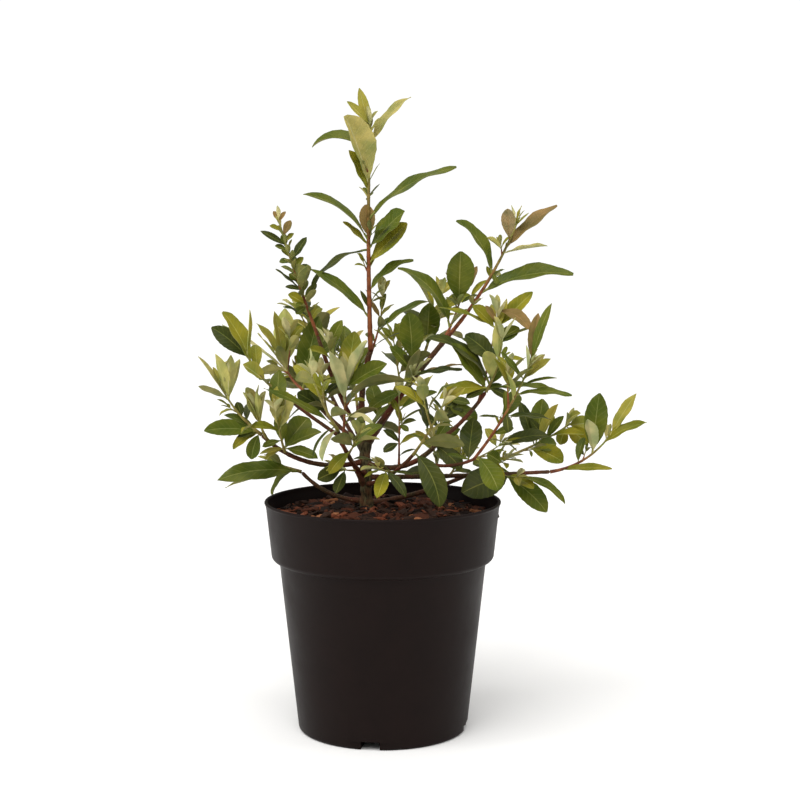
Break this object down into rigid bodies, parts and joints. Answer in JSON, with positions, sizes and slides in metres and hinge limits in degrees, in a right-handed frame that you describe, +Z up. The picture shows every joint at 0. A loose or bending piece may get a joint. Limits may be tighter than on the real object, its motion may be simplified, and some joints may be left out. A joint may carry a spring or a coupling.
{
  "type": "potted pussy willow shrub",
  "caption": "Young multi-stemmed pussy willow shrub with an open crown of lance-shaped leaves, planted in a plain tapered nursery pot of bark-topped soil.",
  "frame": {"origin": "centre of the pot's flat underside", "axes": "+Z up along the pot's axis; +X to the right and +Y away from the viewer of the pictured side"},
  "size_m": [0.364, 0.26, 0.5157],
  "materials": {
    "pot_plastic": "moulded black polypropylene, satin, faintly brown",
    "bark_mulch": "damp dark potting soil topped with loose red-brown bark chips",
    "old_bark": "rough grey-brown young bark, knotty at the old cuts",
    "bough_bark": "smooth red-brown to dark brown willow bark",
    "foliage": "leaves green and slightly glossy above, paler grey-green below and at the young tips, on thin red-brown twigs"
  },
  "bodies": {
    "root": {"pot": "pot_plastic", "soil": "bark_mulch", "trunk": "old_bark", "leader_bough": "bough_bark", "right_bough": "bough_bark", "low_right_bough": "bough_bark", "mid_right_bough": "bough_bark", "outer_right_bough": "bough_bark", "far_right_bough": "bough_bark", "back_right_bough": "bough_bark", "low_left_bough": "bough_bark", "mid_left_bough": "bough_bark", "front_left_bough": "bough_bark", "left_bough": "bough_bark", "upper_left_bough": "bough_bark", "spire_bough": "bough_bark", "front_right_bough": "bough_bark", "front_bough": "bough_bark", "back_left_bough": "bough_bark", "back_bough": "bough_bark", "back_high_bough": "bough_bark", "leader": "foliage", "leader_twin": "foliage", "right_crown": "foliage", "right_upright": "foliage", "right_inner": "foliage", "right_under": "foliage", "mid_right": "foliage", "mid_right_high": "foliage", "mid_right_inner": "foliage", "inner_upright": "foliage", "outer_right": "foliage", "outer_right_low": "foliage", "far_right": "foliage", "far_right_low": "foliage", "far_right_inner": "foliage", "back_right": "foliage", "back_right_low": "foliage", "back_right_inner": "foliage", "low_left": "foliage", "left_tip": "foliage", "left_inner": "foliage", "left_front": "foliage", "left_crown": "foliage", "front_upright": "foliage", "front_low": "foliage", "upper_left": "foliage", "upper_left_inner": "foliage", "spire": "foliage", "spire_side": "foliage", "front_right": "foliage", "front_right_low": "foliage", "front_left": "foliage", "front_left_low": "foliage", "back_left": "foliage", "back_left_side": "foliage", "back": "foliage", "back_side": "foliage", "back_high": "foliage", "back_high_side": "foliage"}
  },
  "joints": []
}
